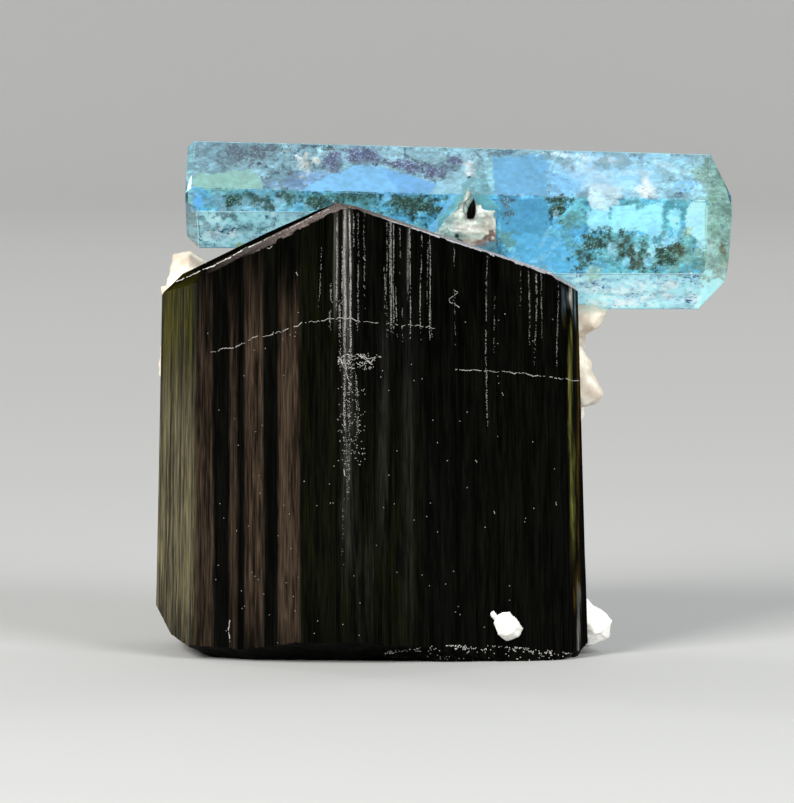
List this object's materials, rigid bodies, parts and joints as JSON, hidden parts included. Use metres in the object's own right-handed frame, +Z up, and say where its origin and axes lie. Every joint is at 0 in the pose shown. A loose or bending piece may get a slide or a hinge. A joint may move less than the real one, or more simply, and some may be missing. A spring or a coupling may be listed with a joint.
{
  "type": "aquamarine crystal on black tourmaline with feldspar",
  "caption": "Six-sided aquamarine prism lying across the sloping top of an upright striated black tourmaline crystal, with small feldspar lumps; stands on its broken base as a display specimen.",
  "frame": {"origin": "centre of the specimen's box, at the level of the flat broken base that it stands on", "axes": "+X along the aquamarine towards its bevelled end, +Y away from the viewer of the front, +Z up"},
  "size_m": [0.065, 0.036, 0.057],
  "materials": {
    "aquamarine_blue": "natural crystal faces",
    "tourmaline_black": "glossy striated crystal faces",
    "feldspar_cream": "broken, slightly pearly"
  },
  "bodies": {
    "root": {"aquamarine_crystal": "aquamarine_blue", "black_tourmaline": "tourmaline_black", "tourmaline_blade": "tourmaline_black", "feldspar_matrix": "feldspar_cream", "feldspar_saddle": "feldspar_cream", "feldspar_foot": "feldspar_cream", "feldspar_bud": "feldspar_cream"}
  },
  "joints": []
}
